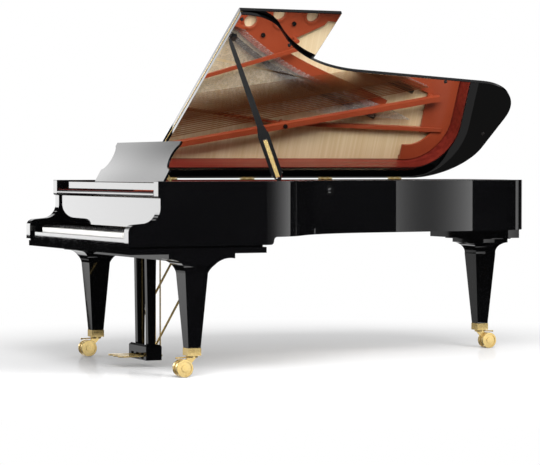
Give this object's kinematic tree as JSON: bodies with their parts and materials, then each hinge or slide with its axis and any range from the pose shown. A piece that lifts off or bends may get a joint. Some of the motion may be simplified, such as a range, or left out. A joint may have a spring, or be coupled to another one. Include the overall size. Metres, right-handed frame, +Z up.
{
  "type": "grand piano",
  "caption": "Black concert grand piano with its lid raised on a prop, front flap folded back, folding music desk, keyboard action, pedals and twin-wheel casters.",
  "frame": {"origin": "on the floor under the middle of the bounding box with the lid raised", "axes": "+X towards the treble side, +Y from the keyboard towards the tail, +Z up"},
  "size_m": [1.6032, 2.786, 1.8961],
  "materials": {
    "black_lacquer": "polished black lacquer",
    "mahogany": "varnished veneer",
    "maple": "bare wood",
    "spruce": "varnished spruce",
    "bridge_wood": "graphited wood",
    "plate_iron": "bronze lacquer",
    "black_iron": "gloss black",
    "steel": "bright",
    "copper_winding": "bright copper winding",
    "brass": "polished",
    "chrome": "mirror",
    "white_keytop": "smooth white top on wood",
    "black_keytop": "satin black",
    "felt": "felt and wood",
    "rubber": "matte"
  },
  "bodies": {
    "case": {"outer_rim": "black_lacquer", "rim_lining": "mahogany", "inner_rim": "maple", "keybed": "black_lacquer", "case_beams": "maple", "soundboard": "spruce", "soundboard_ribs": "spruce", "bridges": "bridge_wood", "pinblock": "maple", "iron_plate": "plate_iron", "plate_bolts": "black_iron", "tuning_pins": "steel", "plain_strings": "steel", "wound_strings": "copper_winding", "agraffes": "brass", "hitch_pins": "steel", "keyslip": "black_lacquer", "key_blocks": "black_lacquer", "legs": "black_lacquer", "leg_ferrules": "brass", "pedal_lyre": "black_lacquer", "lyre_braces": "brass", "hinge_rim_leaves": "brass", "prop_bracket": "black_iron", "music_rails": "black_lacquer", "lid_lock": "chrome"},
    "lid": {"lid_main": "black_lacquer", "prop_cup": "brass", "lid_bumpers": "rubber", "hinge_lid_leaves": "brass", "flap_hinge_lid_leaf": "brass"},
    "flap": {"lid_flap": "black_lacquer", "flap_hinge_flap_leaf": "brass"},
    "prop": {"prop_stick": "black_lacquer"},
    "short_prop": {"half_prop": "black_lacquer"},
    "shelf": {"music_shelf": "black_lacquer"},
    "desk": {"music_desk": "black_lacquer"},
    "desk_strut": {"desk_prop": "brass"},
    "fallboard": {"fallboard": "black_lacquer"},
    "action": {"keyframe": "maple", "action_rails": "black_lacquer"},
    "naturals": {"natural_keys": "white_keytop"},
    "sharps": {"sharp_keys": "black_keytop"},
    "natural_wippen_set": {"natural_wippens": "maple"},
    "sharp_wippen_set": {"sharp_wippens": "maple"},
    "natural_hammer_set": {"natural_hammers": "maple"},
    "sharp_hammer_set": {"sharp_hammers": "maple"},
    "damper_set": {"dampers": "felt"},
    "soft_lever": {"soft_pedal": "brass"},
    "soft_lift": {"soft_rod": "brass"},
    "sostenuto_lever": {"sostenuto_pedal": "brass"},
    "sostenuto_lift": {"sostenuto_rod": "brass"},
    "damper_lever": {"damper_pedal": "brass"},
    "damper_lift": {"damper_rod": "brass"},
    "swivel_treble": {"caster_treble": "brass"},
    "roller_treble": {"wheels_treble": "brass"},
    "swivel_bass": {"caster_bass": "brass"},
    "roller_bass": {"wheels_bass": "brass"},
    "swivel_tail": {"caster_tail": "brass"},
    "roller_tail": {"wheels_tail": "brass"}
  },
  "joints": [
    {"name": "lid_hinge", "type": "hinge", "parent": "case", "child": "lid", "pos_m": [-0.77841, 0.019, 0.998], "axis": [0, -1, 0], "range_deg": [-32.8, 0]},
    {"name": "flap_fold", "type": "hinge", "parent": "lid", "child": "flap", "pos_m": [-0.12676, -0.665, 1.44889], "axis": [-0.8406, 0, -0.5417], "range_deg": [-180, 0]},
    {"name": "prop_fold", "type": "hinge", "parent": "case", "child": "prop", "pos_m": [0.65359, -0.486, 0.972], "axis": [-0.7913, 0.0839, 0.6057], "range_deg": [-153.26, 0]},
    {"name": "short_prop_swing", "type": "hinge", "parent": "prop", "child": "short_prop", "pos_m": [0.57535, -0.53694, 1.19852], "axis": [0.3992, 0.8554, 0.3302], "range_deg": [0, 110]},
    {"name": "shelf_slide", "type": "slide", "parent": "case", "child": "shelf", "axis": [0, 1, 0], "range_m": [0, 0.08]},
    {"name": "desk_tilt", "type": "hinge", "parent": "shelf", "child": "desk", "pos_m": [0.01359, -1.081, 0.981], "axis": [1, 0, 0], "range_deg": [-61, 0]},
    {"name": "desk_strut_fold", "type": "hinge", "parent": "desk", "child": "desk_strut", "pos_m": [0.01359, -1.03239, 1.03981], "axis": [1, 0, 0], "range_deg": [-57, 0]},
    {"name": "fallboard_turn", "type": "hinge", "parent": "case", "child": "fallboard", "pos_m": [0.01359, -1.189, 0.782], "axis": [1, 0, 0], "range_deg": [0, 90]},
    {"name": "action_shift", "type": "slide", "parent": "case", "child": "action", "axis": [1, 0, 0], "range_m": [0, 0.0026]},
    {"name": "natural_press", "type": "hinge", "parent": "action", "child": "naturals", "pos_m": [0.01359, -1.126, 0.7027], "axis": [1, 0, 0], "range_deg": [0, 2.4], "stiffness_Nm_per_rad": 400},
    {"name": "natural_wippen_lift", "type": "hinge", "parent": "action", "child": "natural_wippen_set", "pos_m": [0.01359, -0.869, 0.75], "axis": [-1, 0, 0], "range_deg": [0, 3]},
    {"name": "natural_hammer_strike", "type": "hinge", "parent": "action", "child": "natural_hammer_set", "pos_m": [0.01359, -0.956, 0.797], "axis": [1, 0, 0], "range_deg": [0, 20]},
    {"name": "sharp_press", "type": "hinge", "parent": "action", "child": "sharps", "pos_m": [0.01359, -1.126, 0.7027], "axis": [1, 0, 0], "range_deg": [0, 2.4], "stiffness_Nm_per_rad": 400},
    {"name": "sharp_wippen_lift", "type": "hinge", "parent": "action", "child": "sharp_wippen_set", "pos_m": [0.01359, -0.869, 0.75], "axis": [-1, 0, 0], "range_deg": [0, 3]},
    {"name": "sharp_hammer_strike", "type": "hinge", "parent": "action", "child": "sharp_hammer_set", "pos_m": [0.01359, -0.956, 0.797], "axis": [1, 0, 0], "range_deg": [0, 20]},
    {"name": "damper_rise", "type": "slide", "parent": "case", "child": "damper_set", "axis": [0, 0, 1], "range_m": [0, 0.008]},
    {"name": "soft_press", "type": "hinge", "parent": "case", "child": "soft_lever", "pos_m": [-0.05841, -0.981, 0.059], "axis": [1, 0, 0], "range_deg": [0, 6], "stiffness_Nm_per_rad": 120, "springref_deg": -3.44},
    {"name": "soft_rod_lift", "type": "slide", "parent": "case", "child": "soft_lift", "axis": [0, 0, 1], "range_m": [0, 0.0051]},
    {"name": "sostenuto_press", "type": "hinge", "parent": "case", "child": "sostenuto_lever", "pos_m": [0.01359, -0.981, 0.059], "axis": [1, 0, 0], "range_deg": [0, 6], "stiffness_Nm_per_rad": 120, "springref_deg": -3.44},
    {"name": "sostenuto_rod_lift", "type": "slide", "parent": "case", "child": "sostenuto_lift", "axis": [0, 0, 1], "range_m": [0, 0.0051]},
    {"name": "damper_press", "type": "hinge", "parent": "case", "child": "damper_lever", "pos_m": [0.08559, -0.981, 0.059], "axis": [1, 0, 0], "range_deg": [0, 6], "stiffness_Nm_per_rad": 120, "springref_deg": -3.44},
    {"name": "damper_rod_lift", "type": "slide", "parent": "case", "child": "damper_lift", "axis": [0, 0, 1], "range_m": [0, 0.0051]},
    {"name": "swivel_treble_turn", "type": "hinge", "parent": "case", "child": "swivel_treble", "pos_m": [0.71259, -1.013, 0.1], "axis": [0, 0, 1], "continuous": true},
    {"name": "roller_treble_spin", "type": "hinge", "parent": "swivel_treble", "child": "roller_treble", "pos_m": [0.71259, -1.063, 0.046], "axis": [1, 0, 0], "continuous": true},
    {"name": "swivel_bass_turn", "type": "hinge", "parent": "case", "child": "swivel_bass", "pos_m": [-0.68541, -1.013, 0.1], "axis": [0, 0, 1], "continuous": true},
    {"name": "roller_bass_spin", "type": "hinge", "parent": "swivel_bass", "child": "roller_bass", "pos_m": [-0.68541, -1.063, 0.046], "axis": [1, 0, 0], "continuous": true},
    {"name": "swivel_tail_turn", "type": "hinge", "parent": "case", "child": "swivel_tail", "pos_m": [-0.23641, 1.229, 0.1], "axis": [0, 0, 1], "continuous": true},
    {"name": "roller_tail_spin", "type": "hinge", "parent": "swivel_tail", "child": "roller_tail", "pos_m": [-0.23641, 1.279, 0.046], "axis": [1, 0, 0], "continuous": true}
  ],
  "couplings": [
    {"joint": "prop_fold", "follows": "lid_hinge", "ratio": 4.6725},
    {"joint": "desk_strut_fold", "follows": "desk_tilt", "ratio": 0.93442},
    {"joint": "action_shift", "follows": "soft_press", "m_per_rad": 0.02387},
    {"joint": "damper_rise", "follows": "damper_press", "m_per_rad": 0.07639},
    {"joint": "soft_rod_lift", "follows": "soft_press", "m_per_rad": 0.048},
    {"joint": "sostenuto_rod_lift", "follows": "sostenuto_press", "m_per_rad": 0.048},
    {"joint": "damper_rod_lift", "follows": "damper_press", "m_per_rad": 0.048},
    {"joint": "natural_wippen_lift", "follows": "natural_press", "ratio": 1.25},
    {"joint": "natural_hammer_strike", "follows": "natural_press", "ratio": 8.3333},
    {"joint": "sharp_wippen_lift", "follows": "sharp_press", "ratio": 1.25},
    {"joint": "sharp_hammer_strike", "follows": "sharp_press", "ratio": 8.3333}
  ]
}
